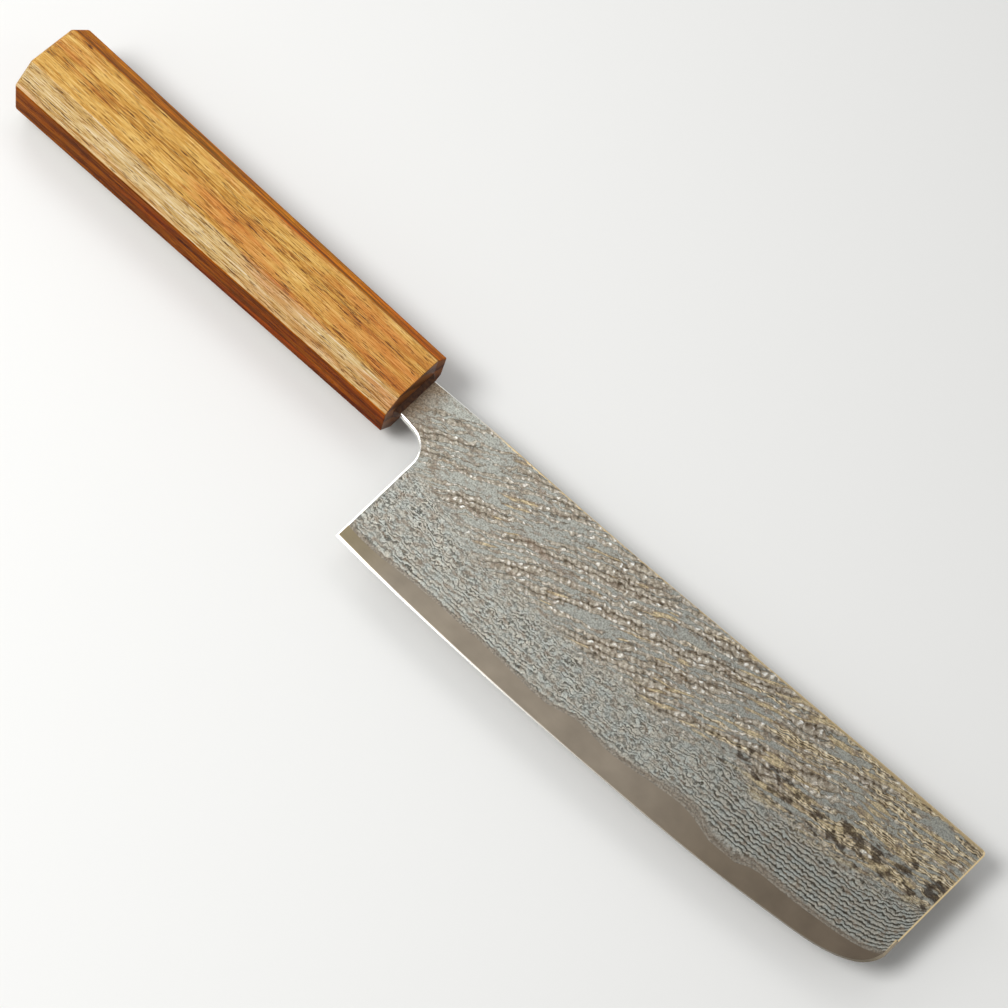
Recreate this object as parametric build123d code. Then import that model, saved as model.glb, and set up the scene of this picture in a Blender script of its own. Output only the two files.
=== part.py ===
from build123d import *
import math
import os

# A Japanese vegetable knife with a square tip (nakiri), lying on its side, in millimetres.
# X runs from the handle's butt to the blade's tip, Y from the cutting edge to the spine,
# and Z up through the side that is shown. The knife is drawn about the middle of the
# handle's mouth, with the handle along -X, and is moved at the end so that the middle of
# the bottom of its box lies on the origin.

# Blade seen from the side
blade_length = 165.6
heel_depth = 41.6
heel_spine_height = 6.6
spine_rise = 4.4
tip_lean = 3.1
tip_corner_radius = 1.2
neck_length = 12.4
neck_depth = 6.7
neck_drop = 1.45
neck_rise = 6.15
choil_radius = 7.0

# Blade seen from the edge
heel_spine_thickness = 2.3
thickness_behind_heel = 0.48
thickness_behind_tip = 0.57
bevel_angle = 16.0
edge_flat = 0.02

# Eased borders of the blade: how far each reaches in from the outline, and how deep
spine_ease_width = 0.3
spine_ease_depth = 0.25
tip_ease_width = 0.8
tip_ease_depth = 0.2
heel_ease_width = 0.4
heel_ease_depth = 0.14

# Laminate: a hard core, thinner towards the tip, between two soft patterned sides
core_thickness_heel = 0.52
core_thickness_tip = 0.34

# Hidden tang
tang_thickness = 2.1
tang_length = 95.0
shoulder_depth = 6.0
tang_root_height = 9.5
tang_end_height = 5.5
tang_corner_radius = 1.5

# Slot in the handle, filled round the tang with adhesive
adhesive_gap = 0.5
slot_runout = 4.0

# Bead of resin that seals the mouth
seal_length = 1.5
seal_reach = 1.1
seal_lip = 0.15
seal_corner_radius = 0.7

# Handle: a tapered octagonal prism
handle_length = 127.1
mouth_height = 22.7
mouth_thickness = 17.9
mouth_facet = 4.46
butt_height = 25.66
butt_thickness = 21.48
butt_facet = 5.73
arris_radius = 0.45
mouth_edge_radius = 0.3
butt_edge_radius = 1.3

# How far a cutting shape runs past what it cuts, and the steps it follows a border in
overrun = 5.0
border_steps = 24

# Spine: shares of the blade's length from the heel, and of the spine's rise
spine_shares = [(0.0, 0.0), (0.24, 0.1), (0.5, 0.4), (1.0, 1.0)]

# Cutting edge: shares of the blade's length from the heel, and of the heel's depth
edge_shares = [
    (0.0, 1.0), (0.085, 1.0135), (0.23, 1.0205), (0.4, 1.0125), (0.57, 0.988),
    (0.74, 0.9445), (0.85, 0.8945), (0.9, 0.863), (0.9525, 0.781), (0.9745, 0.707),
]
edge_end_share = 0.632

# Line where the patterned sides end on the core, in the same shares as the edge
lamination_shares = [
    (0.0, 0.899), (0.07, 0.911), (0.124, 0.894), (0.197, 0.887), (0.275, 0.882),
    (0.336, 0.889), (0.402, 0.875), (0.429, 0.844), (0.499, 0.8485), (0.547, 0.827),
    (0.601, 0.796), (0.641, 0.788), (0.695, 0.839), (0.734, 0.834), (0.755, 0.793),
    (0.807, 0.767), (0.879, 0.74), (0.937, 0.702), (0.967, 0.659), (0.991, 0.577),
]

heel_x = neck_length
tip_x = heel_x + blade_length
tip_spine_height = heel_spine_height + spine_rise
edge_end_depth = heel_depth * edge_end_share
widest_depth = heel_depth * max(depth for along, depth in edge_shares)


def below_axis(shares):
    """Points of a line below the handle's axis, from shares of length and depth."""
    return [(heel_x + blade_length * along, -heel_depth * depth) for along, depth in shares]


def spine_points():
    rise = [(heel_x + blade_length * along, heel_spine_height + spine_rise * up)
            for along, up in spine_shares]
    return [(seal_length, neck_rise)] + rise


# The edge curves up to a blunt corner, where the straight end of the blade begins
edge_end = (tip_x - tip_lean, -edge_end_depth)
edge_line = Spline(*below_axis(edge_shares), edge_end)


def blade_outline():
    """The blade from the neck to the tip, seen from the side."""
    spine = spine_points()
    neck_bottom = (seal_length, -neck_depth)
    choil_corner = (heel_x, -neck_depth - neck_drop)
    border = [
        Spline(*spine),
        Line(spine[-1], edge_end),
        edge_line,
        Line(edge_line @ 0, choil_corner),
        Line(choil_corner, neck_bottom),
        Line(neck_bottom, spine[0]),
    ]
    face = make_face(border)
    choil = face.vertices().sort_by_distance(choil_corner)[0]
    face = fillet(choil, choil_radius)
    tip_corner = face.vertices().sort_by_distance(spine[-1])[0]
    return fillet(tip_corner, tip_corner_radius)


def side_plane():
    """The flat ground face of the shown side, through the spine and behind the edge."""
    spine = Vector(heel_x, heel_spine_height, heel_spine_thickness / 2)
    behind_heel = Vector(heel_x, -heel_depth, thickness_behind_heel / 2)
    behind_tip = Vector(*edge_end, thickness_behind_tip / 2)
    along = behind_tip - behind_heel
    return Plane(origin=spine, x_dir=along, z_dir=along.cross(spine - behind_heel))


def on_side(x, y):
    """The point of the shown side's plane that stands over a point of the outline."""
    plane = side_plane()
    across = (plane.origin.X - x) * plane.z_dir.X + (plane.origin.Y - y) * plane.z_dir.Y
    return Vector(x, y, plane.origin.Z + across / plane.z_dir.Z)


def border_band(curve, inset, lift):
    """A band outside a border that is moved inwards, on the surface given by lift.

    The border runs clockwise, so that the blade lies on its right.
    """
    directions = [curve % (step / border_steps) for step in range(border_steps + 1)]
    points = [curve @ (step / border_steps) for step in range(border_steps + 1)]
    inwards = [Vector(direction.Y, -direction.X) for direction in directions]
    rims = []
    for reach in (inset, -overrun):
        rim = [point + inward * reach for point, inward in zip(points, inwards)]
        before = rim[0] - directions[0] * overrun
        after = rim[-1] + directions[-1] * overrun
        rims.append([lift(point) for point in (before, *rim, after)])
    inner, outer = rims
    return make_face([
        Line(inner[0], inner[1]), Spline(*inner[1:-1]), Line(inner[-2], inner[-1]),
        Line(inner[-1], outer[-1]),
        Line(outer[-1], outer[-2]), Spline(*reversed(outer[1:-1])), Line(outer[1], outer[0]),
        Line(outer[0], inner[0]),
    ])


def bevel_cutter():
    """What the whetstone takes off the shown side along the cutting edge."""
    points = [*below_axis(edge_shares), edge_end]
    foot = edge_flat / 2
    rise = max(thickness_behind_heel, thickness_behind_tip)
    reach = rise / math.tan(math.radians(bevel_angle))

    def lift(height):
        return lambda point: Vector(point.X, point.Y, foot + height)

    edge = Spline(*reversed(points))
    low = border_band(edge, -reach, lift(-rise))
    high = border_band(edge, reach, lift(rise))
    return loft([low, high], ruled=True)


def spine_cutter():
    """What is taken off the corner between the spine and the shown side."""
    up = side_plane().z_dir

    def lift(height):
        return lambda point: on_side(point.X, point.Y) + up * height

    spine = Spline(*spine_points())
    low = border_band(spine, -spine_ease_width, lift(-2 * spine_ease_depth))
    high = border_band(spine, 2 * spine_ease_width, lift(spine_ease_depth))
    return loft([low, high], ruled=True)


def tip_easing_plane():
    """The flat that eases the straight end of the blade."""
    up = side_plane().z_dir
    top = on_side(tip_x, tip_spine_height)
    down = (on_side(*edge_end) - top).normalized()
    inward = down.cross(up)
    facing = up * tip_ease_width - inward * tip_ease_depth
    return Plane(origin=top + inward * tip_ease_width, x_dir=down, z_dir=facing)


def ground_side(blade):
    """The blade with its shown side ground flat, the borders eased and the edge cut."""
    blade = split(blade, bisect_by=side_plane(), keep=Keep.BOTTOM)
    side = blade.faces().sort_by(Axis.Z)[-1]
    heel = [e for e in side.edges() if e.center().X < heel_x + edge_flat]
    heel = [e for e in heel if e.center().Y < -neck_depth]
    blade = chamfer(heel, length=heel_ease_width, length2=heel_ease_depth, reference=side)
    blade = split(blade, bisect_by=tip_easing_plane(), keep=Keep.BOTTOM)
    return blade - spine_cutter() - bevel_cutter()


def mirrored(shape):
    return mirror(shape, about=Plane.XY)


def ground_blade():
    blade = extrude(blade_outline(), amount=heel_spine_thickness, both=True)
    return mirrored(ground_side(mirrored(ground_side(blade))))


def tang_outline(gap, runout, front):
    """The tang from the neck to its end, or its slot when given a gap and a runout."""
    neck_middle = (neck_rise - neck_depth) / 2
    root = tang_root_height / 2 + gap
    tip = tang_end_height / 2 + gap
    shoulder = -shoulder_depth - gap
    back = -tang_length - runout
    corners = [
        (front, neck_rise + gap), (shoulder, neck_rise + gap), (shoulder, neck_middle + root),
        (back, neck_middle + tip), (back, neck_middle - tip), (shoulder, neck_middle - root),
        (shoulder, -neck_depth - gap), (front, -neck_depth - gap),
    ]
    face = make_face(Polyline(*corners, close=True))
    inner = [corners[index] for index in (2, 3, 4, 5)]
    rounded = [face.vertices().sort_by_distance(corner)[0] for corner in inner]
    return fillet(rounded, tang_corner_radius)


def slab(heel_thickness, tip_thickness):
    """The core's layer through the whole knife, thinner towards the tip."""
    taper = (tip_thickness - heel_thickness) / blade_length / 2
    left = -tang_length - overrun
    right = tip_x + overrun
    left_half = heel_thickness / 2 + taper * (left - heel_x)
    right_half = heel_thickness / 2 + taper * (right - heel_x)
    section = Plane.XZ * Polygon(
        (left, -left_half), (right, -right_half), (right, right_half), (left, left_half),
        align=None,
    )
    return extrude(section, amount=widest_depth + overrun, both=True)


def bare_core_region():
    """All that lies below the line where the patterned sides end."""
    line = below_axis(lamination_shares)
    left = heel_x - overrun
    right = tip_x + overrun
    bottom = -widest_depth - overrun
    border = [
        Line((left, line[0][1]), line[0]),
        Spline(*line),
        Line(line[-1], (right, line[-1][1])),
        Line((right, line[-1][1]), (right, bottom)),
        Line((right, bottom), (left, bottom)),
        Line((left, bottom), (left, line[0][1])),
    ]
    return extrude(make_face(border), amount=heel_spine_thickness, both=True)


def laminated_knife():
    """Blade and tang in one, cut into the core and its two sides."""
    tang = extrude(tang_outline(0, 0, seal_length), amount=tang_thickness / 2, both=True)
    steel = ground_blade() + tang
    bare = bare_core_region()
    layer = slab(core_thickness_heel, core_thickness_tip)
    layered = steel - bare
    core = (steel & bare) + (layered & layer)
    sides = (layered - layer).solids().sort_by(Axis.Z)
    return steel, core, sides[-1], sides[0]


def octagon(x, height, thickness, facet):
    """Corners of a flattened octagon across the handle, its four slanted sides alike."""
    y, z = height / 2, thickness / 2
    return [
        (x, y, z - facet), (x, y - facet, z), (x, facet - y, z), (x, -y, z - facet),
        (x, -y, facet - z), (x, facet - y, -z), (x, y - facet, -z), (x, y, facet - z),
    ]


def handle(slot):
    """One block of oak, eight tapered facets with broken arrises, slotted for the tang."""
    mouth = octagon(0, mouth_height, mouth_thickness, mouth_facet)
    butt = octagon(-handle_length, butt_height, butt_thickness, butt_facet)
    rings = [mouth, butt]
    for index in range(len(mouth)):
        rings.append([mouth[index - 1], mouth[index], butt[index], butt[index - 1]])
    body = Solid(Shell([make_face(Polyline(*ring, close=True)) for ring in rings]))
    arrises = [e for e in body.edges() if e.length > handle_length / 2]
    body = fillet(arrises, arris_radius)
    body = fillet(body.faces().sort_by(Axis.X)[0].edges(), butt_edge_radius)
    body = fillet(body.faces().sort_by(Axis.X)[-1].edges(), mouth_edge_radius)
    return body - slot


def handle_slot():
    face = tang_outline(adhesive_gap, slot_runout, 0)
    return extrude(face, amount=tang_thickness / 2 + adhesive_gap, both=True)


def seal(steel):
    """A bead round the neck, widest on the handle and thin where it meets the blade."""
    neck_middle = (neck_rise - neck_depth) / 2
    neck_height = neck_rise + neck_depth

    def ring(x, reach):
        outline = RectangleRounded(
            neck_height + 2 * reach, tang_thickness + 2 * reach,
            seal_corner_radius * reach / seal_reach,
        )
        return Plane.YZ.offset(x) * Pos(neck_middle, 0) * outline

    return loft([ring(0, seal_reach), ring(seal_length, seal_lip)], ruled=True) - steel


steel, blade_core, cladding_front, cladding_back = laminated_knife()
slot = handle_slot()

nodes = {
    "blade_core": blade_core,
    "cladding_front": cladding_front,
    "cladding_back": cladding_back,
    "handle_body": handle(slot),
    "tang_adhesive": slot - steel,
    "mouth_seal": seal(steel),
}

# The middle of the bottom of the knife's box is the origin
box = Compound(list(nodes.values())).bounding_box()
to_origin = Pos(-box.center().X, -box.center().Y, -box.min.Z)

os.makedirs("parts", exist_ok=True)
for name, shape in nodes.items():
    export_step(to_origin * shape, f"parts/{name}.step")
    print(name, len(shape.solids()), round(shape.volume, 2), shape.is_valid)
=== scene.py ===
import math
import bpy
from mathutils import Matrix, Vector


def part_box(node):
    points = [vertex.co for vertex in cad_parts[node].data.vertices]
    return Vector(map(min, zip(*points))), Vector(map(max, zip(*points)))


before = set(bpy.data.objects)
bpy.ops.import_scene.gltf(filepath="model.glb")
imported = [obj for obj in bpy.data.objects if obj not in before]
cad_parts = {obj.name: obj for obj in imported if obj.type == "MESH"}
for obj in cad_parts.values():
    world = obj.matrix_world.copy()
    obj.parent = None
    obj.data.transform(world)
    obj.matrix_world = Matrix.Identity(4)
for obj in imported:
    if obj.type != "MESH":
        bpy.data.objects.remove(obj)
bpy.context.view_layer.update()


# The core of the blade: one plate of high-carbon steel that carries the edge. Below the
# patterned sides it lies bare, ground on a belt, which leaves it a soft brownish grey with
# fine scratches along it. Its two bevels are honed on a whetstone, which leaves them bright.
millimetre = 0.001
heel_x = 12.4
blade_length = 165.6
spine_height_at_heel = 6.6
half_thickness_at_spine = 1.15
taper_to_edge = 0.01888
taper_to_tip = 0.0015
bevel_depths = (0.03, 0.06)

# Every pattern is laid out in millimetres from the middle of the handle's mouth: X towards
# the tip, Y towards the spine, Z up through the shown side.
handle_low, handle_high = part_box("handle_body")
mouth = (handle_low + handle_high) / 2
mouth.x = handle_high.x

# A noise gives values round a half, and nearly all lie in this range.
noise_range = (0.3, 0.7)


def colour(code):
    """A hex colour as written for a screen, turned to linear values."""
    shares = [int(code[start:start + 2], 16) / 255 for start in (1, 3, 5)]
    linear = [share / 12.92 if share <= 0.04045 else ((share + 0.055) / 1.055) ** 2.4
              for share in shares]
    return (*linear, 1.0)


def add(tree, kind, inputs=(), stops=(), curve=(), **settings):
    """Adds a shader node, sets it, fills or links its inputs, and gives its first output."""
    node = tree.nodes.new("ShaderNode" + kind)
    for name, value in settings.items():
        setattr(node, name, value)
    sockets = [socket for socket in node.inputs if socket.enabled]
    pairs = inputs.items() if isinstance(inputs, dict) else enumerate(inputs)
    for key, value in pairs:
        socket = node.inputs[key] if isinstance(key, str) else sockets[key]
        if isinstance(value, bpy.types.NodeSocket):
            tree.links.new(value, socket)
        elif value is not None:
            socket.default_value = value
    if stops:
        elements = node.color_ramp.elements
        elements.remove(elements[1])
        elements[0].position = stops[0][0]
        elements[0].color = colour(stops[0][1])
        for place, code in stops[1:]:
            elements.new(place).color = colour(code)
    if curve:
        points = node.mapping.curves[0].points
        points[0].location = curve[0]
        points[1].location = curve[-1]
        for point in curve[1:-1]:
            points.new(*point)
        node.mapping.update()
    return next((socket for socket in node.outputs if socket.enabled), None)


def start_material(name):
    """An empty node tree with its place on the knife in millimetres, and what it ends in."""
    material = bpy.data.materials.new(name)
    material.use_nodes = True
    tree = material.node_tree
    tree.nodes.clear()
    here = add(tree, "TexCoord").node.outputs["Object"]
    scale = [1 / millimetre] * 3
    place = add(tree, "VectorMath", [here, scale, -mouth / millimetre], operation="MULTIPLY_ADD")
    surface = add(tree, "BsdfPrincipled").node
    add(tree, "OutputMaterial", [surface.outputs[0]])
    return material, tree, place, surface


def finish_node(name, material):
    """Gives a node of the frame its finish."""
    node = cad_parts[name]
    node.data.materials.clear()
    node.data.materials.append(material)


def below_side(tree, x, y, z):
    """How far in millimetres a point lies under the flat ground side, as on a bevel."""
    down = add(tree, "Math", [y, taper_to_edge, -spine_height_at_heel * taper_to_edge],
               operation="MULTIPLY_ADD")
    along = add(tree, "Math", [x, -taper_to_tip, heel_x * taper_to_tip],
                operation="MULTIPLY_ADD")
    side = add(tree, "Math", [down, along])
    side = add(tree, "Math", [side, half_thickness_at_spine])
    height = add(tree, "Math", [z], operation="ABSOLUTE")
    return add(tree, "Math", [side, height], operation="SUBTRACT")


# The belt's scratches are some 0.02 mm wide, and are drawn wider so that they show.
cloud_size = 8.333
cloud_shades = (0.88, 1.1)
scratch_size = (3.333, 0.125, 0.1667)
scratch_depth = 0.02
satin_roughness = (0.36, 0.48)
honed_roughness = 0.22
# Both ramps run from heel to tip and darken towards the tip: painted shade.
satin_tones_shaded_to_tip = [
    (0.0, "#8E8268"), (0.1, "#958B7C"), (0.55, "#988D7E"), (0.7, "#857969"), (1.0, "#7C6F60")]
honed_tones_shaded_to_tip = [(0.2, "#F4F2EA"), (0.7, "#DAD5C9"), (0.92, "#A79F92"), (1.0, "#8A7D68")]

core_steel, tree, place, surface = start_material("ground_core_steel")
x, y, z = add(tree, "SeparateXYZ", [place]).node.outputs
along = add(tree, "MapRange", [x, heel_x, heel_x + blade_length, 0, 1])
# The ground steel's tone, darker towards the tip: painted shade
satin = add(tree, "ValToRGB", [along], stops=satin_tones_shaded_to_tip)
clouds = add(tree, "TexNoise", {"Vector": place, "Scale": 1 / cloud_size, "Detail": 3.0})
clouds = add(tree, "MapRange", [clouds, *noise_range, *cloud_shades])
satin = add(tree, "VectorMath", [satin, clouds], operation="SCALE")
# The honed bevels' tone, bright at the heel and dimmer towards the tip: painted shade
honed = add(tree, "ValToRGB", [along], stops=honed_tones_shaded_to_tip)
sunk = below_side(tree, x, y, z)
bevel = add(tree, "MapRange", [sunk, *bevel_depths, 0, 1])
steel = add(tree, "Mix", [bevel, satin, honed], data_type="RGBA")
scratch_place = add(tree, "VectorMath", [place, scratch_size], operation="DIVIDE")
scratches = add(tree, "TexNoise", {"Vector": scratch_place, "Scale": 1.0, "Detail": 4.0})
roughness = add(tree, "MapRange", [scratches, *noise_range, *satin_roughness])
roughness = add(tree, "Mix", [bevel, roughness, honed_roughness])
tree.links.new(steel, surface.inputs["Base Color"])
tree.links.new(roughness, surface.inputs["Roughness"])
surface.inputs["Metallic"].default_value = 1.0
relief = {"Strength": 0.25, "Distance": scratch_depth * millimetre, "Height": scratches}
bump = add(tree, "Bump", relief)
tree.links.new(bump, surface.inputs["Normal"])
finish_node("blade_core", core_steel)


# The two soft sides of the blade: iron and nickel steel, folded into thin layers, forged to
# the core, hammered, ground flat so that the layers show as lines, and etched. The acid turns
# the iron dark and eats it back a little, and leaves the nickel steel bright and proud.
full_turn = 2 * math.pi
noise_middle = 0.5

# Each side reads its noise this many millimetres off its place, so that the two differ.
sides_apart = 40.0

damascus, tree, place, surface = start_material("etched_layered_steel")
x, y, z = add(tree, "SeparateXYZ", [place]).node.outputs
shown_side = add(tree, "Math", [z], operation="SIGN")
apart = add(tree, "CombineXYZ", [0, 0, shown_side])
apart = add(tree, "VectorMath", [apart, (1, 1, sides_apart), place], operation="MULTIPLY_ADD")

# The line where the layered side ends over the core, as shares of the blade's length and the
# heel's depth, and the calmer line that the layers further up follow
heel_depth = 41.6
lamination_shares = [
    (0.0, 0.899), (0.07, 0.911), (0.124, 0.894), (0.197, 0.887), (0.275, 0.882),
    (0.336, 0.889), (0.402, 0.875), (0.429, 0.844), (0.499, 0.8485), (0.547, 0.827),
    (0.601, 0.796), (0.641, 0.788), (0.695, 0.839), (0.734, 0.834), (0.755, 0.793),
    (0.807, 0.767), (0.879, 0.74), (0.937, 0.702), (0.967, 0.659), (1.0, 0.56),
]
calm_line_shares = [(0.0, 0.9), (0.35, 0.884), (0.55, 0.822), (0.78, 0.78), (0.93, 0.705), (1.0, 0.57)]

along = add(tree, "MapRange", [x, heel_x, heel_x + blade_length, 0, 1])
lamination = add(tree, "FloatCurve", {"Value": along}, curve=lamination_shares)
height = add(tree, "Math", [lamination, heel_depth, y], operation="MULTIPLY_ADD")
calm_line = add(tree, "FloatCurve", {"Value": along}, curve=calm_line_shares)
calm_height = add(tree, "Math", [calm_line, heel_depth, y], operation="MULTIPLY_ADD")

# Layers counted from the core outwards: nearly even along the edge, folded into loops above,
# calm for longer towards the tip, and turned up at its end. Folds are given in layers, and
# heights in millimetres above the line over the core.
layer_spacing = 1.2
tip_layer_spacing = 1.11
calm_x = (104, 138)
fold_size = (3.333, 2.381, 3.333)
fold_reach_x = (45, 70)
fold_reach = (8, 4.5)
fold_foot = 0.5
edge_folds = 0.9
full_folds = 5.2
more_folds_x = (14, 28)
more_folds = 2.4
late_fold_heights = (9, 17)
late_edge_folds = 0.7
turned_up_x = (170, 182)
turned_up_layers = 4.0
settled_heights = (0.3, 3.5)
ripple_size = (1.111, 2.0, 2.0)
ripple_layers = 1.4
# Past each dark line lies a lighter one, and before it a slightly darker one: partly the bright nickel
# layer, partly a painted highlight and painted shade that give the lines relief.
layer_and_highlight_tones = [
    (0.0, "#C6C7BF"), (0.24, "#ACADA5"), (0.37, "#4C4840"), (0.58, "#4C4840"), (0.77, "#D6D7CF"),
    (1.0, "#C6C7BF")]
faint_size = 3.333
faint_levels = (0.35, 0.65)
faint_shares = (0.65, 0.15)
faint_tone = "#AAABA4"
calm_boldness = 0.15
calm_painted_shade = 0.84
tint_size = 2.0
tint_tones = [(0.4, "#FFF9F3"), (0.62, "#F8FBFC")]

calm = add(tree, "MapRange", [x, *calm_x, 0, 1], interpolation_type="SMOOTHSTEP")
fold_place = add(tree, "VectorMath", [apart, fold_size], operation="DIVIDE")
fold = add(tree, "TexNoise", {"Vector": fold_place, "Scale": 1.0, "Detail": 3.5, "Roughness": 0.6})
fold = add(tree, "Math", [fold, -noise_middle])
reach = add(tree, "MapRange", [x, *fold_reach_x, *fold_reach])
early_folds = add(tree, "MapRange", [height, fold_foot, reach, edge_folds, full_folds])
heel_folds = add(tree, "MapRange", [x, *more_folds_x, more_folds, 0])
early_folds = add(tree, "Math", [early_folds, heel_folds])
late_folds = add(tree, "MapRange", [height, *late_fold_heights, late_edge_folds, full_folds])
folding = add(tree, "Mix", [calm, early_folds, late_folds])
turned_up = add(tree, "MapRange", [x, *turned_up_x, 0, turned_up_layers],
                interpolation_type="SMOOTHSTEP")
settled = add(tree, "MapRange", [height, *settled_heights, 0, 1], interpolation_type="SMOOTHSTEP")
count = add(tree, "Mix", [settled, height, calm_height])
count = add(tree, "Math", [count, turned_up], operation="SUBTRACT")
finer = add(tree, "MapRange", [along, 0, 1, 1 / layer_spacing, 1 / tip_layer_spacing])
count = add(tree, "Math", [count, finer], operation="MULTIPLY")
count = add(tree, "Math", [fold, folding, count], operation="MULTIPLY_ADD")
ripple_place = add(tree, "VectorMath", [apart, ripple_size], operation="DIVIDE")
ripple = add(tree, "TexNoise", {"Vector": ripple_place, "Scale": 1.0, "Detail": 2.0})
count = add(tree, "Math", [ripple, ripple_layers, count], operation="MULTIPLY_ADD")
phase = add(tree, "Math", [count], operation="FRACT")
layers = add(tree, "ValToRGB", [phase], stops=layer_and_highlight_tones)
faint = add(tree, "TexNoise", {"Vector": apart, "Scale": 1 / faint_size, "Detail": 2.0})
faint = add(tree, "MapRange", [faint, *faint_levels, *faint_shares])
bold = add(tree, "MapRange", [calm, 0, 1, 1, calm_boldness])
faint = add(tree, "Math", [faint, bold], operation="MULTIPLY")
layers = add(tree, "Mix", [faint, layers, colour(faint_tone)], data_type="RGBA")
# Towards the tip the layers are made darker: painted shade.
shade = add(tree, "MapRange", [calm, 0, 1, 1, calm_painted_shade])
layers = add(tree, "VectorMath", [layers, shade], operation="SCALE")
tint = add(tree, "TexNoise", {"Vector": apart, "Scale": 1 / tint_size, "Detail": 2.0})
tint = add(tree, "ValToRGB", [tint], stops=tint_tones)
layers = add(tree, "Mix", [1.0, layers, tint], data_type="RGBA", blend_type="MULTIPLY")

# Rows that the hammer left across the blade: they rise to the spine and flatten to the tip.
# Noise in streaks runs along them. The third number of its size, here and below, only keeps
# the two sides of the blade from looking alike.
row_slope = 0.42
row_slope_x = 62.0
row_flattening = 0.0022
wander_size = (22.22, 12.5, 20.0)
wander_width = 5.0

run = add(tree, "Math", [x, -row_slope_x])
bend = add(tree, "Math", [run, run], operation="MULTIPLY")
bend = add(tree, "Math", [bend, -row_flattening / 2], operation="MULTIPLY")
rise = add(tree, "Math", [run, row_slope, bend], operation="MULTIPLY_ADD")
across = add(tree, "Math", [y, rise], operation="SUBTRACT")
wander_place = add(tree, "VectorMath", [apart, wander_size], operation="DIVIDE")
wander = add(tree, "TexNoise", {"Vector": wander_place, "Scale": 1.0, "Detail": 1.5})
across = add(tree, "Math", [wander, wander_width, across], operation="MULTIPLY_ADD")
streak_place = add(tree, "CombineXYZ", [x, across, shown_side])

# Beads strung along the rows, where the grinding cuts through small knobs. Each shows a bright
# dot, a painted glint, in a duller ring, with a broken dark line between one row and the next,
# a painted shadow under the row. A dot's size is a share of the step from one bead to the next.
row_spacing = 2.05
beads_per_mm = 0.82
beads_thinning = 0.0011
bead_lean = 0.66
jitter_size = 2.222
row_jitter = 1.3
bead_jitter = 1.8
dot_scatter = 0.55
past_heel_x = (20, 80)
dot_chances = (0.1, 0.8)
smallest_dot = 0.02
largest_dots = (0.26, 0.3)
dot_softness = 0.07
glint_strength = 0.95
heel_glint_share = 0.8
lump_size = (1.6667, 0.8333, 0.1111)
lump_share = 3.8
lump_range = (-0.14, 0.04)
patch_size = (4.5455, 2.0, 0.2)
patch_share = 1.4
step_share = 1.2
wave_share = 0.45
knob_range = (-2, 2)
# Lighter crests and darker troughs of the knobs: partly painted shading of their relief.
knob_tones_with_painted_shading = [
    (0.2, "#52473A"), (0.32, "#8A7F6E"), (0.44, "#A49A8A"), (0.62, "#B5AC9C"), (0.8, "#D2CABB")]
heel_tone = "#938F82"
heel_tone_share = 0.35
# The bright dots are painted glints, and the dark line under each row is painted shadow.
bead_glint_tones = ("#D5CCBF", "#FFFEF8")
row_gap_shadow_tone = "#5B4E40"
gap_waves = (-1, -0.6)
row_gap_shadow_strength = 0.8
broken_gap_share = 0.25

jitter = add(tree, "TexNoise", {"Vector": apart, "Scale": 1 / jitter_size, "Detail": 1.0})
row = add(tree, "Math", [across, 1 / row_spacing], operation="MULTIPLY")
row = add(tree, "Math", [jitter, row_jitter, row], operation="MULTIPLY_ADD")
row_wave = add(tree, "Math", [row, full_turn], operation="MULTIPLY")
row_wave = add(tree, "Math", [row_wave], operation="COSINE")
leaning = add(tree, "Math", [across, bead_lean, x], operation="MULTIPLY_ADD")
thinning = add(tree, "Math", [leaning, -beads_thinning, beads_per_mm], operation="MULTIPLY_ADD")
step = add(tree, "Math", [leaning, thinning], operation="MULTIPLY")
step = add(tree, "Math", [jitter, bead_jitter, step], operation="MULTIPLY_ADD")
step_wave = add(tree, "Math", [step, full_turn], operation="MULTIPLY")
step_wave = add(tree, "Math", [step_wave], operation="COSINE")
dot_place = add(tree, "CombineXYZ", [step, row, 0])
dot_place = add(tree, "VectorMath", [dot_place, (dot_scatter / 2, dot_scatter / 2, 0)])
dot = add(tree, "TexVoronoi", {"Vector": dot_place, "Scale": 1.0, "Randomness": dot_scatter},
          voronoi_dimensions="2D").node
dot_chance = add(tree, "SeparateXYZ", [dot.outputs["Color"]]).node.outputs
from_dot = add(tree, "VectorMath", [dot_place, dot.outputs["Position"]], operation="SUBTRACT")
row_in_beads = row_spacing * beads_per_mm
from_dot = add(tree, "VectorMath", [from_dot, (1, row_in_beads, 0)], operation="MULTIPLY")
from_dot = add(tree, "VectorMath", [from_dot], operation="LENGTH").node.outputs["Value"]
past_heel = add(tree, "MapRange", [x, *past_heel_x, 0, 1])
largest_dot = add(tree, "MapRange", [past_heel, 0, 1, *largest_dots])
dot_size = add(tree, "MapRange", [dot_chance[0], *dot_chances, smallest_dot, largest_dot])
glint_dots = add(tree, "Math", [dot_size, from_dot], operation="SUBTRACT")
glint_dots = add(tree, "MapRange", [glint_dots, -dot_softness, dot_softness, 0, glint_strength])
lump_place = add(tree, "VectorMath", [streak_place, lump_size], operation="DIVIDE")
lump = add(tree, "TexNoise", {"Vector": lump_place, "Scale": 1.0, "Detail": 3.0})
lump = add(tree, "Math", [lump, -noise_middle])
patch_place = add(tree, "VectorMath", [streak_place, patch_size], operation="DIVIDE")
patch = add(tree, "TexNoise", {"Vector": patch_place, "Scale": 1.0, "Detail": 2.0})
patch = add(tree, "Math", [patch, -noise_middle])
knob = add(tree, "Math", [step_wave, step_share, row_wave], operation="MULTIPLY_ADD")
knob = add(tree, "Math", [knob, wave_share], operation="MULTIPLY")
knob = add(tree, "Math", [lump, lump_share, knob], operation="MULTIPLY_ADD")
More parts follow.
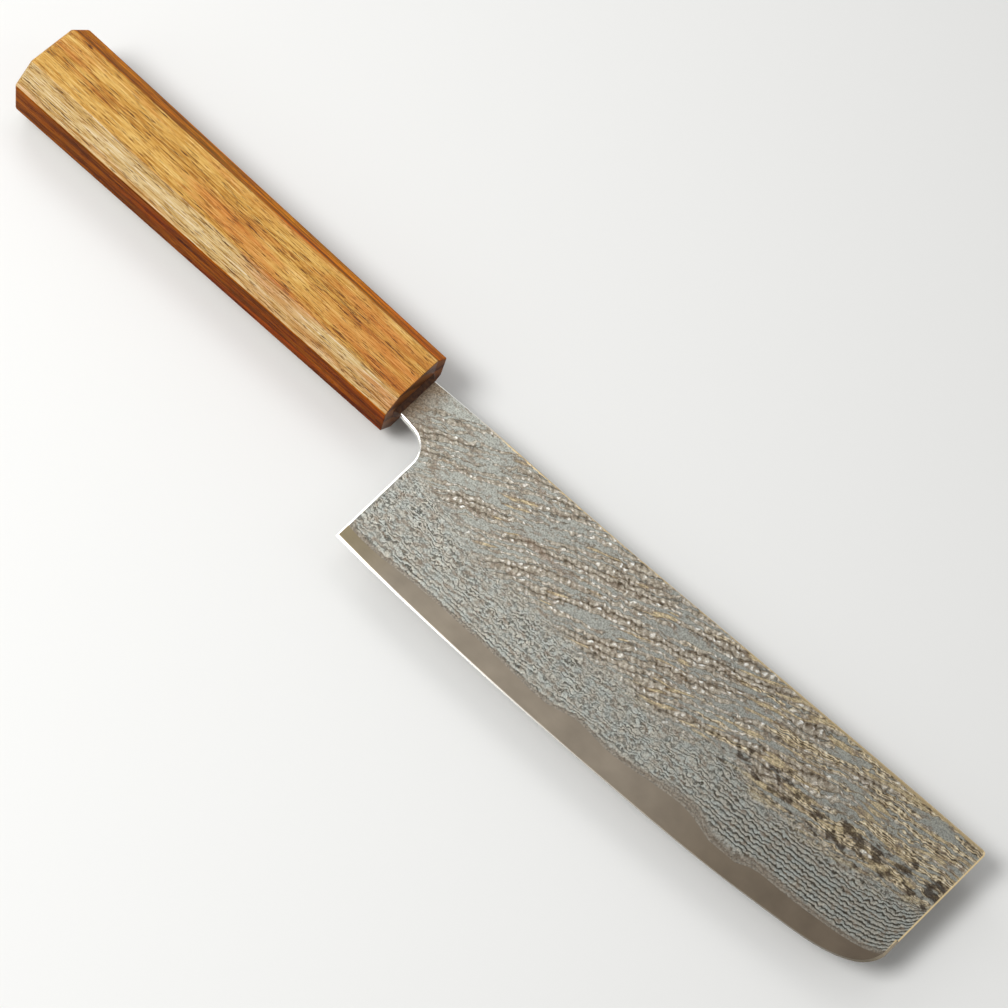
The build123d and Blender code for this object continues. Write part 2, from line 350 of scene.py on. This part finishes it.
knob = add(tree, "Math", [patch, patch_share, knob], operation="MULTIPLY_ADD")
knob = add(tree, "MapRange", [knob, *knob_range, 0, 1])
silver = add(tree, "ValToRGB", [knob], stops=knob_tones_with_painted_shading)
mellow = add(tree, "MapRange", [past_heel, 0, 1, heel_tone_share, 0])
silver = add(tree, "Mix", [mellow, silver, colour(heel_tone)], data_type="RGBA")
# Painted glints on the beads
bead_glint_tone = add(tree, "Mix", [dot_chance[1], *map(colour, bead_glint_tones)], data_type="RGBA")
bolder_glints = add(tree, "MapRange", [past_heel, 0, 1, heel_glint_share, 1])
glint_dots = add(tree, "Math", [glint_dots, bolder_glints], operation="MULTIPLY")
broken = add(tree, "MapRange", [lump, *lump_range, broken_gap_share, 1])
# Painted shadow under each row, broken here and there
row_gap_shadow = add(tree, "MapRange", [row_wave, *gap_waves, row_gap_shadow_strength, 0])
row_gap_shadow = add(tree, "Math", [row_gap_shadow, broken], operation="MULTIPLY")
silver = add(tree, "Mix", [glint_dots, silver, bead_glint_tone], data_type="RGBA")

# Towards the tip the rows close up into fine lines, which a painted warm reflection turns golden
line_spacing = 0.7
line_jitter = 2.6
line_step_share = 0.6
line_lump_share = 5.0
line_range = (-2.5, 2.5)
# Golden tones of the fine lines: a painted warm reflection over the etched lines.
golden_reflection_tones = [
    (0.14, "#42382D"), (0.28, "#75664F"), (0.42, "#B8A888"), (0.58, "#E2D0AB"), (0.84, "#F9EDD2")]
gold_size = (16.667, 2.381, 0.09091)
gold_x = (75, 165)
gold_levels = (0.67, 0.36)
gold_softness = 0.1
gold_strength = 0.9

fine_row = add(tree, "Mix", [0.5, across, y])
fine_row = add(tree, "Math", [fine_row, 1 / line_spacing], operation="MULTIPLY")
fine_row = add(tree, "Math", [jitter, line_jitter, fine_row], operation="MULTIPLY_ADD")
fine_wave = add(tree, "Math", [fine_row, full_turn], operation="MULTIPLY")
fine_wave = add(tree, "Math", [fine_wave], operation="COSINE")
fine_relief = add(tree, "Math", [step_wave, line_step_share, fine_wave], operation="MULTIPLY_ADD")
fine_relief = add(tree, "Math", [lump, line_lump_share, fine_relief], operation="MULTIPLY_ADD")
line = add(tree, "MapRange", [fine_relief, *line_range, 0, 1])
golden = add(tree, "ValToRGB", [line], stops=golden_reflection_tones)
gold_place = add(tree, "VectorMath", [streak_place, gold_size], operation="DIVIDE")
gold_reflection_mask = add(tree, "TexNoise", {"Vector": gold_place, "Scale": 1.0, "Detail": 2.0})
toward_tip = add(tree, "MapRange", [x, *gold_x, *gold_levels])
gold_reflection_mask = add(tree, "Math", [gold_reflection_mask, toward_tip], operation="SUBTRACT")
gold_reflection_mask = add(tree, "MapRange", [gold_reflection_mask, 0, gold_softness, 0, gold_strength])
# Painted warm reflection on the fine lines towards the tip
beads = add(tree, "Mix", [gold_reflection_mask, silver, golden], data_type="RGBA")
# The painted shadow under each row lies over the golden lines too.
beads = add(tree, "Mix", [row_gap_shadow, beads, colour(row_gap_shadow_tone)], data_type="RGBA")

# Between the bands of beads one layer lies flat, with a thin dark line round it. Its pale
# cool grey is partly a painted cool reflection.
band_size = (20.0, 3.333, 0.1429)
fuller_x = (100, 165)
fuller_levels = (0.055, 0.03)
heel_level = -0.03
band_lump_share = 0.14
band_wave_share = 0.08
band_softness = 0.035
beads_left_on_flat = 0.12
flat_tones_with_cool_reflection = ("#AEB0A8", "#A5A7A0")
band_edge_tone = "#5E5244"
band_edge_width = 0.025
band_edge_strength = 0.7

band_place = add(tree, "VectorMath", [streak_place, band_size], operation="DIVIDE")
band = add(tree, "TexNoise", {"Vector": band_place, "Scale": 1.0, "Detail": 2.5})
fuller = add(tree, "MapRange", [x, *fuller_x, *fuller_levels])
fuller = add(tree, "Mix", [past_heel, heel_level, fuller])
band = add(tree, "Math", [band, fuller])
band = add(tree, "Math", [lump, band_lump_share, band], operation="MULTIPLY_ADD")
band = add(tree, "Math", [row_wave, band_wave_share, band], operation="MULTIPLY_ADD")
band = add(tree, "Math", [band, -noise_middle])
edge = add(tree, "Math", [band], operation="ABSOLUTE")
edge = add(tree, "MapRange", [edge, 0, band_edge_width, band_edge_strength, 0])
band = add(tree, "MapRange", [band, -band_softness, band_softness, beads_left_on_flat, 1],
           interpolation_type="SMOOTHSTEP")
# Flat layer's tone, partly a painted cool reflection
flat = add(tree, "Mix", [past_heel, *map(colour, flat_tones_with_cool_reflection)], data_type="RGBA")
rows = add(tree, "Mix", [band, flat, beads], data_type="RGBA")
rows = add(tree, "Mix", [edge, rows, colour(band_edge_tone)], data_type="RGBA")

# Golden strokes, where one layer comes up between the rows: frayed, with a dark rim. Their
# golden colour is a painted warm reflection.
stroke_size = (11.111, 1.6667, 0.3333)
stroke_x = (40, 140)
stroke_levels = (0.69, 0.575)
stroke_softness = 0.03
stroke_strength = 0.85
stroke_reflection_tone = "#D4C39C"
stroke_lines_share = 0.35
stroke_rim_tone = "#72593F"
stroke_rim_strength = 0.6
frayed_range = (-0.2, 0)
frayed_share = 0.5

stroke_place = add(tree, "VectorMath", [streak_place, stroke_size], operation="DIVIDE")
stroke = add(tree, "TexNoise", {"Vector": stroke_place, "Scale": 1.0, "Detail": 1.3})
stroke_start = add(tree, "MapRange", [x, *stroke_x, *stroke_levels])
stroke = add(tree, "Math", [stroke, stroke_start], operation="SUBTRACT")
stroke_rim = add(tree, "MapRange", [stroke, -stroke_softness, 0, 0, stroke_rim_strength])
stroke_core = add(tree, "MapRange", [stroke, 0, stroke_softness, 0, stroke_strength])
frayed = add(tree, "MapRange", [lump, *frayed_range, frayed_share, 1])
stroke_core = add(tree, "Math", [stroke_core, frayed], operation="MULTIPLY")
rows = add(tree, "Mix", [stroke_rim, rows, colour(stroke_rim_tone)], data_type="RGBA")
# Painted warm reflection gives the strokes their golden colour.
strokes = add(tree, "Mix", [stroke_lines_share, colour(stroke_reflection_tone), golden], data_type="RGBA")
rows = add(tree, "Mix", [stroke_core, rows, strokes], data_type="RGBA")

# Rows above and layers below, with the change lower down at the heel
heel_start_x = (12, 50)
heel_start = 8
start_wander = 9.0
start_heights = (16, 24)

start = add(tree, "MapRange", [x, *heel_start_x, heel_start, 0])
start = add(tree, "Math", [height, start], operation="SUBTRACT")
start = add(tree, "Math", [wander, start_wander, start], operation="MULTIPLY_ADD")
upper = add(tree, "MapRange", [start, *start_heights, 0, 1], interpolation_type="SMOOTHSTEP")
skin = add(tree, "Mix", [upper, layers, rows], data_type="RGBA")

# Brown specks of oxide, a soft brown streak, and dark blotches in the lower rows at the tip
speck_size = (2.5, 1.25, 2.5)
speck_x = (20, 90)
more_specks = 0.04
speck_levels = (0.56, 0.68)
speck_strength = 0.6
speck_tone = "#8A7B6B"
streak_middle = (52, -9)
streak_half_size = (15, 1.3)
streak_fade = (0.2, 1.1)
streak_strength = 0.45
streak_tone = "#86705F"
blotch_size = (3.5714, 2.0, 3.333)
blotch_x_range = (75, 135)
blotch_chances = (-0.16, 0.12)
chance_elsewhere = -0.09
blotch_line_slope = -0.14
blotch_line_y = 31.5
blotch_reach = (2.5, 7.5)
blotch_levels = (0.61, 0.7)
blotch_strength = 0.85
blotch_tone = "#463B32"

speck_place = add(tree, "VectorMath", [apart, speck_size], operation="DIVIDE")
speck = add(tree, "TexNoise", {"Vector": speck_place, "Scale": 1.0, "Detail": 3.0})
more_at_heel = add(tree, "MapRange", [x, *speck_x, more_specks, 0])
speck = add(tree, "Math", [speck, more_at_heel])
specks = add(tree, "MapRange", [speck, *speck_levels, 0, speck_strength])
skin = add(tree, "Mix", [specks, skin, colour(speck_tone)], data_type="RGBA")
streak = add(tree, "VectorMath", [place, (-streak_middle[0], -streak_middle[1], 0)])
streak_scale = (1 / streak_half_size[0], 1 / streak_half_size[1], 0)
streak = add(tree, "VectorMath", [streak, streak_scale], operation="MULTIPLY")
streak = add(tree, "VectorMath", [streak], operation="LENGTH").node.outputs["Value"]
streak = add(tree, "MapRange", [streak, *streak_fade, streak_strength, 0],
             interpolation_type="SMOOTHSTEP")
skin = add(tree, "Mix", [streak, skin, colour(streak_tone)], data_type="RGBA")
blotch_x = add(tree, "MapRange", [x, *blotch_x_range, *blotch_chances])
blotch_y = add(tree, "Math", [x, blotch_line_slope, blotch_line_y], operation="MULTIPLY_ADD")
blotch_y = add(tree, "Math", [y, blotch_y])
blotch_y = add(tree, "Math", [blotch_y], operation="ABSOLUTE")
blotch_y = add(tree, "MapRange", [blotch_y, *blotch_reach, 1, 0], interpolation_type="SMOOTHSTEP")
blotch_place = add(tree, "VectorMath", [apart, blotch_size], operation="DIVIDE")
blotch = add(tree, "TexNoise", {"Vector": blotch_place, "Scale": 1.0, "Detail": 3.0,
                                "Roughness": 0.55})
likely = add(tree, "Mix", [blotch_y, chance_elsewhere, blotch_x])
likely = add(tree, "Math", [likely, blotch])
blotch = add(tree, "MapRange", [likely, *blotch_levels, 0, blotch_strength])
skin = add(tree, "Mix", [blotch, skin, colour(blotch_tone)], data_type="RGBA")

# The first layers over the core are brown and low in contrast, in a wider belt past the
# middle. The neck by the handle is brown as well: a painted reflection of the handle's brown
# end, with painted shade. A fine etched grain lies over all: it is drawn some ten times as
# coarse as the acid leaves it, so that it shows.
belt_height = 4.0
belt_fade = (0.5, 1)
belt_strength = 0.75
belt_shares = [
    (0.0, 0.3), (0.35, 0.3), (0.55, 0.5), (0.63, 0.9), (0.75, 0.9), (0.84, 0.5), (1.0, 0.4)]
belt_tone = "#8D8274"
neck_x = (2.0, 9.0)
neck_reflection_strength = 0.9
neck_reflection_tone = "#86745F"
grain_size = 0.4
grain_shades = (0.62, 1.34)

belt = add(tree, "FloatCurve", {"Value": along}, curve=belt_shares)
belt = add(tree, "Math", [belt, belt_height], operation="MULTIPLY")
belt = add(tree, "Math", [height, belt], operation="DIVIDE")
belt = add(tree, "MapRange", [belt, *belt_fade, belt_strength, 0])
skin = add(tree, "Mix", [belt, skin, colour(belt_tone)], data_type="RGBA")
# Painted reflection of the handle's brown end on the neck, with painted shade
handle_reflection_at_neck = add(tree, "MapRange", [x, *neck_x, neck_reflection_strength, 0])
skin = add(tree, "Mix", [handle_reflection_at_neck, skin, colour(neck_reflection_tone)], data_type="RGBA")
grain = add(tree, "TexNoise", {"Vector": apart, "Scale": 1 / grain_size, "Detail": 2.5})
grain = add(tree, "MapRange", [grain, *noise_range, *grain_shades])
skin = add(tree, "VectorMath", [skin, grain], operation="SCALE")

# The borders are eased and polished, bright at the heel. At the spine and the tip a golden
# rim is a painted warm highlight, drawn a little onto the flat by the spine.
spine_rise = 4.4
spine_shares = [(0.0, 0.0), (0.24, 0.1), (0.5, 0.4), (1.0, 1.0)]
bright_depths = (0.006, 0.012)
golden_depths = (0.07, 0.12)
golden_highlight_strength = 0.9
rim_widths = (0.5, 1.1)
rim_wander = 1.5
rim_softness = 0.3
rim_highlight_strength = 0.85
duller_heights = (0.5, 6)
duller_share = 0.45
golden_x = (13, 26)
polish_and_rim_highlight_tones = ("#F2F2EE", "#DCC496")
etched_brightness = (0.1, 0.6)
etched_roughness = (0.48, 0.38)
eased_roughness = 0.24
etch_depth = 0.04

sunk = below_side(tree, x, y, z)
bright_border = add(tree, "MapRange", [sunk, *bright_depths, 0, 1])
# Golden rim at the tip and, below, along the spine: a painted warm highlight
golden_rim_highlight = add(tree, "MapRange", [sunk, *golden_depths, 0, golden_highlight_strength])
spine = add(tree, "FloatCurve", {"Value": along}, curve=spine_shares)
spine = add(tree, "Math", [spine, spine_rise, spine_height_at_heel], operation="MULTIPLY_ADD")
spine = add(tree, "Math", [spine, y], operation="SUBTRACT")
rim_width = add(tree, "MapRange", [along, 0.5, 1.0, *rim_widths])
spine_rim_highlight = add(tree, "Math", [lump, rim_wander, rim_width], operation="MULTIPLY_ADD")
spine_rim_highlight = add(tree, "Math", [spine_rim_highlight, spine], operation="SUBTRACT")
spine_rim_highlight = add(tree, "MapRange", [spine_rim_highlight, 0, rim_softness, 0, rim_highlight_strength])
golden_rim_highlight = add(tree, "Math", [golden_rim_highlight, spine_rim_highlight], operation="MAXIMUM")
duller = add(tree, "MapRange", [height, *duller_heights, duller_share, 1])
golden_rim_highlight = add(tree, "Math", [golden_rim_highlight, duller], operation="MULTIPLY")
golden_part = add(tree, "MapRange", [x, *golden_x, 0, 1])
border = add(tree, "Mix", [golden_part, bright_border, golden_rim_highlight])
# White polish at the heel, a painted golden highlight beyond it
eased = add(tree, "Mix", [golden_part, *map(colour, polish_and_rim_highlight_tones)], data_type="RGBA")
skin = add(tree, "Mix", [border, skin, eased], data_type="RGBA")
tree.links.new(skin, surface.inputs["Base Color"])
bright = add(tree, "RGBToBW", [skin])
roughness = add(tree, "MapRange", [bright, *etched_brightness, *etched_roughness])
roughness = add(tree, "Mix", [border, roughness, eased_roughness])
tree.links.new(roughness, surface.inputs["Roughness"])
surface.inputs["Metallic"].default_value = 1.0
relief = {"Strength": 0.5, "Distance": etch_depth * millimetre, "Height": bright}
bump = add(tree, "Bump", relief)
tree.links.new(bump, surface.inputs["Normal"])
finish_node("cladding_front", damascus)
finish_node("cladding_back", damascus)


# The filling round the hidden tang: two-part epoxy, poured into the handle's slot and cured
# there, which leaves it clear amber with a faint haze.
epoxy_haze_size = 2.5
amber_tones = [(0.3, "#7A5A2A"), (0.7, "#A5803F")]

epoxy, tree, place, surface = start_material("cured_epoxy")
haze = add(tree, "TexNoise", {"Vector": place, "Scale": 1 / epoxy_haze_size, "Detail": 3.0})
amber = add(tree, "ValToRGB", [haze], stops=amber_tones)
tree.links.new(amber, surface.inputs["Base Color"])
surface.inputs["Roughness"].default_value = 0.3
finish_node("tang_adhesive", epoxy)


# The handle: one block of oak with a slot for the tang, planed to a tapered octagon, its
# pores left open and the whole rubbed with clear lacquer. Long dark pores run with the grain
# in bands, one a year, under a low satin gloss.
ring_spacing = 4.6
pith = (-38.0, -46.0)
drift_size = (62.5, 10.0, 10.0)
drift_width = 4.5
early_shares = [(0.0, 0.0), (0.1, 0.75), (0.2, 1.0), (0.5, 0.45), (0.8, 0.05), (1.0, 0.0)]

# Spring's pores are as wide as real ones, some 0.2 mm. Summer's are drawn some five times
# as wide as real ones, and the fibres ten times, since they would not show otherwise.
pore_size = (4.5455, 0.2083, 0.2083)
pore_levels = (0.65, 0.585)
pore_softness = 0.03
fine_pore_size = (2.5, 0.2174, 0.2174)
fine_pore_levels = (0.6, 0.7)
fine_pore_strength = 0.75
fibre_size = (9.0909, 0.2778, 0.2778)
fibre_share = 1.25
early_share = 0.1
least_tone = 0.03
wood_tones = [
    (0.3, "#EED290"), (0.6, "#D4AA5A"), (0.76, "#C18E3A"), (0.88, "#A36916"), (1.0, "#864C08")]
red_size = (33.333, 4.0, 4.0)
red_x = (-110, 0)
red_chances = (-0.16, 0.08)
red_levels = (0.42, 0.66)
red_strength = 0.75
red_tone = "#EDB384"
fine_pore_tone = "#8F5412"
pore_tone = "#60340D"

oak, tree, place, surface = start_material("lacquered_oak")
x, y, z = add(tree, "SeparateXYZ", [place]).node.outputs
drift_place = add(tree, "VectorMath", [place, drift_size], operation="DIVIDE")
drift = add(tree, "TexNoise", {"Vector": drift_place, "Scale": 1.0, "Detail": 2.0})
from_pith = add(tree, "CombineXYZ", [0, y, z])
from_pith = add(tree, "VectorMath", [from_pith, (0, -pith[0], -pith[1])])
radius = add(tree, "VectorMath", [from_pith], operation="LENGTH").node.outputs["Value"]
radius = add(tree, "Math", [drift, drift_width, radius], operation="MULTIPLY_ADD")
season = add(tree, "Math", [radius, 1 / ring_spacing], operation="MULTIPLY")
season = add(tree, "Math", [season], operation="FRACT")
early = add(tree, "FloatCurve", {"Value": season}, curve=early_shares)
pore_place = add(tree, "VectorMath", [place, pore_size], operation="DIVIDE")
pore = add(tree, "TexNoise", {"Vector": pore_place, "Scale": 1.0, "Detail": 1.5, "Roughness": 0.6})
threshold = add(tree, "MapRange", [early, 0, 1, *pore_levels])
pores = add(tree, "Math", [pore, threshold], operation="SUBTRACT")
pores = add(tree, "MapRange", [pores, 0, pore_softness, 0, 1])
fine_place = add(tree, "VectorMath", [place, fine_pore_size], operation="DIVIDE")
fine = add(tree, "TexNoise", {"Vector": fine_place, "Scale": 1.0, "Detail": 1.0})
fine_pores = add(tree, "MapRange", [fine, *fine_pore_levels, 0, fine_pore_strength])
fibre_place = add(tree, "VectorMath", [place, fibre_size], operation="DIVIDE")
fibres = add(tree, "TexNoise", {"Vector": fibre_place, "Scale": 1.0, "Detail": 4.0,
                                "Roughness": 0.65})
tone = add(tree, "Math", [early, early_share, least_tone], operation="MULTIPLY_ADD")
tone = add(tree, "Math", [fibres, fibre_share, tone], operation="MULTIPLY_ADD")
wood = add(tree, "ValToRGB", [tone], stops=wood_tones)
# Red patches, the wood's own tone, grow more likely towards the mouth; the butt is left paler with
# less red, a painted sheen.
red_place = add(tree, "VectorMath", [place, red_size], operation="DIVIDE")
red = add(tree, "TexNoise", {"Vector": red_place, "Scale": 1.0, "Detail": 2.0})
mouth_red_and_butt_sheen = add(tree, "MapRange", [x, *red_x, *red_chances])
red = add(tree, "Math", [red, mouth_red_and_butt_sheen])
red = add(tree, "MapRange", [red, *red_levels, 0, red_strength])
wood = add(tree, "Mix", [red, wood, colour(red_tone)], data_type="RGBA", blend_type="MULTIPLY")
wood = add(tree, "Mix", [fine_pores, wood, colour(fine_pore_tone)], data_type="RGBA")
wood = add(tree, "Mix", [pores, wood, colour(pore_tone)], data_type="RGBA")

# Each facet cuts the rings another way, which gives those on the spine's side and the edge's
# side bolder stripes. The one below the broad facet is paler, a painted sheen, and those on the
# spine's side and the edge's side are darker and redder, a painted shade. The half depth of the
# handle is given at the butt and at the mouth.
handle_length = (handle_high.x - handle_low.x) / millimetre
flat_half_width = 7.0
arris_width = 0.2
half_depths = (12.83, 11.35)
edge_facet_depths = (0.1, 0.3)
spine_facet_shade_tone = "#FFCA3C"
edge_facet_shade_tone = "#C08436"
low_facet_sheen_shades = (0.99, 1.22, 2.4)
stripe_size = (25.0, 1.1111, 1.1111)
stripe_levels = (0.35, 0.65)
stripe_shades = (1.45, 0.48)

# Painted shade on the spine's side facets, darker and redder
spine_facets = add(tree, "MapRange", [y, flat_half_width, flat_half_width + arris_width, 0, 1])
wood = add(tree, "Mix", [spine_facets, wood, colour(spine_facet_shade_tone)], data_type="RGBA",
           blend_type="MULTIPLY")
half_depth = add(tree, "MapRange", [x, -handle_length, 0, *half_depths])
edge_facet = add(tree, "Math", [half_depth, y])
edge_facet = add(tree, "MapRange", [edge_facet, *edge_facet_depths, 1, 0])
side_facets = add(tree, "Math", [spine_facets, edge_facet], operation="MAXIMUM")
stripe_place = add(tree, "VectorMath", [place, stripe_size], operation="DIVIDE")
stripes = add(tree, "TexNoise", {"Vector": stripe_place, "Scale": 1.0, "Detail": 4.0})
bolder = add(tree, "MapRange", [stripes, *stripe_levels, *stripe_shades])
bolder = add(tree, "Mix", [side_facets, 1.0, bolder])
wood = add(tree, "VectorMath", [wood, bolder], operation="SCALE")
# Painted shade on the edge's side facet, darker and redder
wood = add(tree, "Mix", [edge_facet, wood, colour(edge_facet_shade_tone)], data_type="RGBA",
           blend_type="MULTIPLY")
# Painted sheen on the facet below the broad one, paler
low_facet_sheen_mask = add(tree, "MapRange", [y, -flat_half_width - arris_width, -flat_half_width, 1, 0])
low_facet_sheen_mask = add(tree, "Math", [low_facet_sheen_mask, edge_facet], operation="SUBTRACT")
paler = add(tree, "VectorMath", [wood, low_facet_sheen_shades], operation="MULTIPLY")
wood = add(tree, "Mix", [low_facet_sheen_mask, wood, paler], data_type="RGBA")

# The ends show end grain, which drinks the lacquer and turns darker, most of all in the open
# pores of spring. The narrow facets are less glossy than the broad ones.
end_grain_depth = 0.2
end_grain_strength = 0.9
late_end_tone = "#9C5A28"
early_end_tone = "#5E3012"
wood_roughness = 0.45
wood_gloss = (0.25, 0.03)
lacquer_weights = (0.12, 0.01)
lacquer_roughness = 0.25
pore_depth = 0.1
fibre_relief = 0.5

middle = add(tree, "Math", [x, handle_length / 2])
middle = add(tree, "Math", [middle], operation="ABSOLUTE")
end_x = handle_length / 2
end_grain = add(tree, "MapRange", [middle, end_x - end_grain_depth, end_x, 0, end_grain_strength])
ends = add(tree, "Mix", [early, colour(late_end_tone), colour(early_end_tone)], data_type="RGBA")
wood = add(tree, "Mix", [end_grain, wood, ends], data_type="RGBA")
tree.links.new(wood, surface.inputs["Base Color"])
surface.inputs["Roughness"].default_value = wood_roughness
gloss = add(tree, "Mix", [side_facets, *wood_gloss])
tree.links.new(gloss, surface.inputs["Specular IOR Level"])
lacquer = add(tree, "Mix", [side_facets, *lacquer_weights])
tree.links.new(lacquer, surface.inputs["Coat Weight"])
surface.inputs["Coat Roughness"].default_value = lacquer_roughness
hollows = add(tree, "Math", [pores, -1.0], operation="MULTIPLY")
hollows = add(tree, "Math", [fibres, fibre_relief, hollows], operation="MULTIPLY_ADD")
relief = {"Strength": 0.6, "Distance": pore_depth * millimetre, "Height": hollows}
bump = add(tree, "Bump", relief)
tree.links.new(bump, surface.inputs["Normal"])
finish_node("handle_body", oak)


# The bead of dark resin that seals the mouth round the neck: tinted epoxy, smoothed while
# wet, which leaves it a little cloudy and only half glossy. Its dark tone also stands for the
# shade round the neck: partly painted shade.
resin_haze_size = 0.8333
resin_and_shade_tones = [(0.3, "#44291A"), (0.7, "#6E4628")]

resin, tree, place, surface = start_material("dark_resin_and_shade")
haze = add(tree, "TexNoise", {"Vector": place, "Scale": 1 / resin_haze_size, "Detail": 3.0})
# Dark resin tone, partly painted shade at the mouth
dark = add(tree, "ValToRGB", [haze], stops=resin_and_shade_tones)
tree.links.new(dark, surface.inputs["Base Color"])
surface.inputs["Roughness"].default_value = 0.55
surface.inputs["Specular IOR Level"].default_value = 0.3
finish_node("mouth_seal", resin)


# The studio: a plain pale table with matt paint, in a white room. To the eye and in
# reflections the table is pale. As light from below it counts as a mid grey, so that the
# knife's underside keeps its shade.
floor_half_size = 3.0
floor_tone = "#E8E8E6"
bounce_tone = "#6E6E6E"
floor_roughness = 0.9

# Far from the knife the lamps fall off, and the table keeps its pale tone by a plain glow.
far_distances = (260, 800)
far_level = 0.85

corners = [(-1, -1), (1, -1), (1, 1), (-1, 1)]
floor_points = [(side_x * floor_half_size, side_y * floor_half_size, 0) for side_x, side_y in corners]
floor_mesh = bpy.data.meshes.new("floor")
floor_mesh.from_pydata(floor_points, [], [(0, 1, 2, 3)])
floor = bpy.data.objects.new("floor", floor_mesh)
bpy.context.scene.collection.objects.link(floor)

paint, tree, place, surface = start_material("pale_table")
path = add(tree, "LightPath").node
seen = add(tree, "Math", [path.outputs["Is Camera Ray"], path.outputs["Is Glossy Ray"]],
           operation="MAXIMUM")
seen = add(tree, "Math", [seen, path.outputs["Is Transmission Ray"]], operation="MAXIMUM")
tone = add(tree, "Mix", [seen, colour(bounce_tone), colour(floor_tone)], data_type="RGBA")
tree.links.new(tone, surface.inputs["Base Color"])
surface.inputs["Roughness"].default_value = floor_roughness
far = add(tree, "VectorMath", [place], operation="LENGTH").node.outputs["Value"]
far = add(tree, "MapRange", [far, *far_distances, 0, 1], interpolation_type="SMOOTHSTEP")
far = add(tree, "Math", [far, seen], operation="MULTIPLY")
glow = add(tree, "Emission", [colour("#FFFFFF"), far_level])
blend = add(tree, "MixShader", [far, surface.outputs[0], glow])
tree.links.new(blend, tree.nodes["Material Output"].inputs["Surface"])
floor_mesh.materials.append(paint)

# The room: white walls, dim as light, a little brighter in reflections, and pale to look at
room_light = 0.3
room_in_reflections = 0.45
room_in_view = 0.9

world = bpy.data.worlds.new("studio")
bpy.context.scene.world = world
world.use_nodes = True
tree = world.node_tree
sky = tree.nodes["Background"]
path = add(tree, "LightPath").node
mirrored = add(tree, "Math", [path.outputs["Is Glossy Ray"], path.outputs["Is Transmission Ray"]],
               operation="MAXIMUM")
level = add(tree, "Mix", [mirrored, room_light, room_in_reflections])
level = add(tree, "Mix", [path.outputs["Is Camera Ray"], level, room_in_view])
tree.links.new(level, sky.inputs["Strength"])
sky.inputs["Color"].default_value = colour("#FFFFFF")

# Soft lamps, each with its place and what it looks at in metres, its width and its watts. The
# first one gives nearly all the light, and the others lift one side each.
lamps = {
    "overhead": ((-0.42, -0.5, 0.85), (-0.05, 0.0, 0.0), 0.4, 8.3),
    "over_edge": ((-0.3, -0.2, 0.95), (0.0, 0.0, 0.0), 0.46, 0.7),
    "behind_heel": ((-0.16, 0.27, 0.62), (-0.05, 0.0, 0.0), 0.3, 0.36),
    "behind_butt": ((-0.52, 0.26, 0.45), (-0.02, 0.0, 0.0), 0.3, 0.7),
    "beyond_tip": ((0.5, 0.25, 0.53), (0.12, 0.0, 0.0), 0.3, 0.15),
    "low_front": ((-0.34, -0.7, 0.36), (-0.09, 0.0, 0.0), 0.5, 0.6),
}
for name, (place, aim, width, watts) in lamps.items():
    lamp = bpy.data.lights.new(name, "AREA")
    lamp.size = width
    lamp.energy = watts
    holder = bpy.data.objects.new(name, lamp)
    bpy.context.scene.collection.objects.link(holder)
    holder.location = place
    holder.rotation_mode = "QUATERNION"
    holder.rotation_quaternion = (Vector(place) - Vector(aim)).to_track_quat("Z", "Y")

# The photograph's camera, high over the blade's edge and rolled so that the knife lies across
camera_place = (0.093483, -0.235401, 0.554322)
camera_right = (0.7349, 0.6535, 0.18127)
camera_up = (-0.66387, 0.63862, 0.38917)

camera_data = bpy.data.cameras.new("camera")
camera_data.lens = 87.71
camera_data.sensor_width = 36.0
camera = bpy.data.objects.new("camera", camera_data)
bpy.context.scene.collection.objects.link(camera)
right = Vector(camera_right)
back = right.cross(Vector(camera_up)).normalized()
up = back.cross(right).normalized()
turn = Matrix((right.normalized(), up, back)).transposed().to_4x4()
camera.matrix_world = Matrix.Translation(camera_place) @ turn
bpy.context.scene.camera = camera
bpy.context.scene.view_settings.view_transform = "Standard"
